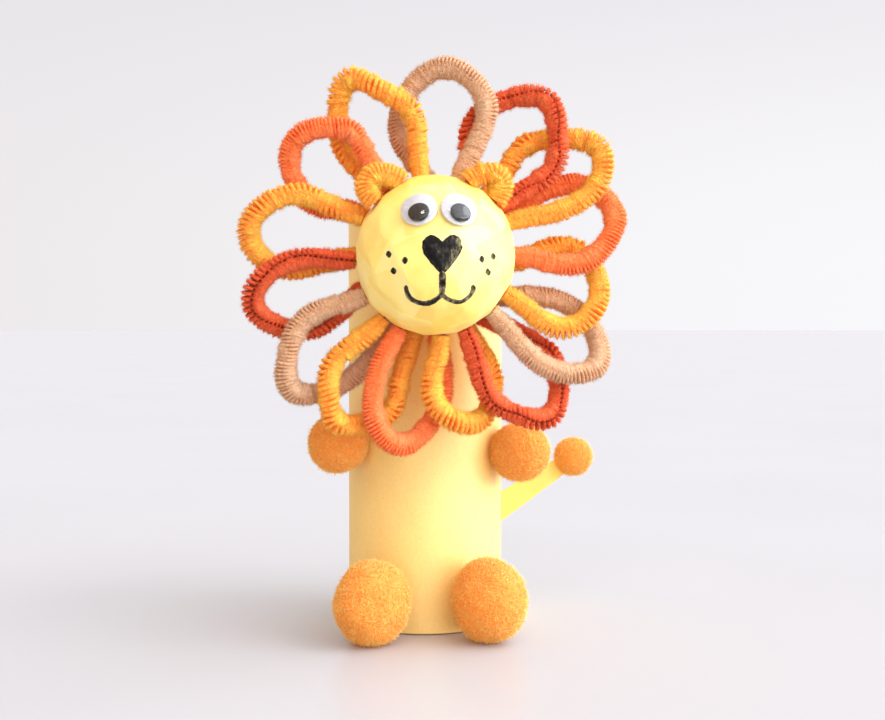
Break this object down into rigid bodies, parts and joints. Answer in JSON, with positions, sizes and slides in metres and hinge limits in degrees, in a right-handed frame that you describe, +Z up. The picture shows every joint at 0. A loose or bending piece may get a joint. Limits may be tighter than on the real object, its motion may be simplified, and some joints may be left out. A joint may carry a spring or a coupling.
{
  "type": "cardboard tube lion puppet",
  "caption": "Lion puppet made from a paper-wrapped card tube, with a ball head, wobbly eyes, a mane of bent chenille stems, and pompom hands, feet and tail tuft.",
  "frame": {"origin": "middle of the base of the puppet's bounding box, at table level", "axes": "+Z up along the tube, the face looks along -Y, +X is the viewer's right as they face the puppet"},
  "size_m": [0.1002, 0.0894, 0.1469],
  "materials": {
    "card_core": "matte",
    "tube_paper": "matte",
    "ball_pulp": "matte",
    "head_strips": "matte",
    "dried_glue": "satin",
    "eye_white": "gloss",
    "eye_black": "gloss",
    "eye_clear": "gloss",
    "beige_pile": "matte",
    "rust_pile": "matte",
    "yellow_pile": "matte",
    "orange_pile": "matte",
    "orange_fluff": "matte",
    "tail_card": "matte"
  },
  "bodies": {
    "root": {"tube_core": "card_core", "tube_paper": "tube_paper", "head_ball": "ball_pulp", "head_paper": "head_strips", "head_glue_pad": "dried_glue", "eye_left_back": "eye_white", "eye_left_dome": "eye_clear", "eye_right_back": "eye_white", "eye_right_dome": "eye_clear", "ear_left": "yellow_pile", "ear_right": "yellow_pile", "mane_loop_01": "beige_pile", "mane_loop_02": "rust_pile", "mane_loop_03": "yellow_pile", "mane_loop_04": "orange_pile", "mane_loop_05": "yellow_pile", "mane_loop_06": "beige_pile", "mane_loop_07": "rust_pile", "mane_loop_08": "yellow_pile", "mane_loop_09": "orange_pile", "mane_loop_10": "yellow_pile", "mane_loop_11": "beige_pile", "mane_loop_12": "rust_pile", "mane_loop_13": "yellow_pile", "mane_loop_14": "orange_pile", "mane_loop_15": "yellow_pile", "hand_left": "orange_fluff", "hand_right": "orange_fluff", "foot_left": "orange_fluff", "foot_right": "orange_fluff", "tail_pompom": "orange_fluff", "tail_strip": "tail_card"},
    "pupil_left": {"eye_left_pupil": "eye_black"},
    "pupil_right": {"eye_right_pupil": "eye_black"}
  },
  "joints": [
    {"name": "pupil_left_turn", "type": "hinge", "parent": "root", "child": "pupil_left", "pos_m": [-0.00768, -0.04149, 0.10763], "axis": [-0.2569, -0.8404, 0.4772], "continuous": true},
    {"name": "pupil_right_turn", "type": "hinge", "parent": "root", "child": "pupil_right", "pos_m": [0.00173, -0.04181, 0.10763], "axis": [0.1977, -0.8563, 0.4772], "continuous": true}
  ]
}
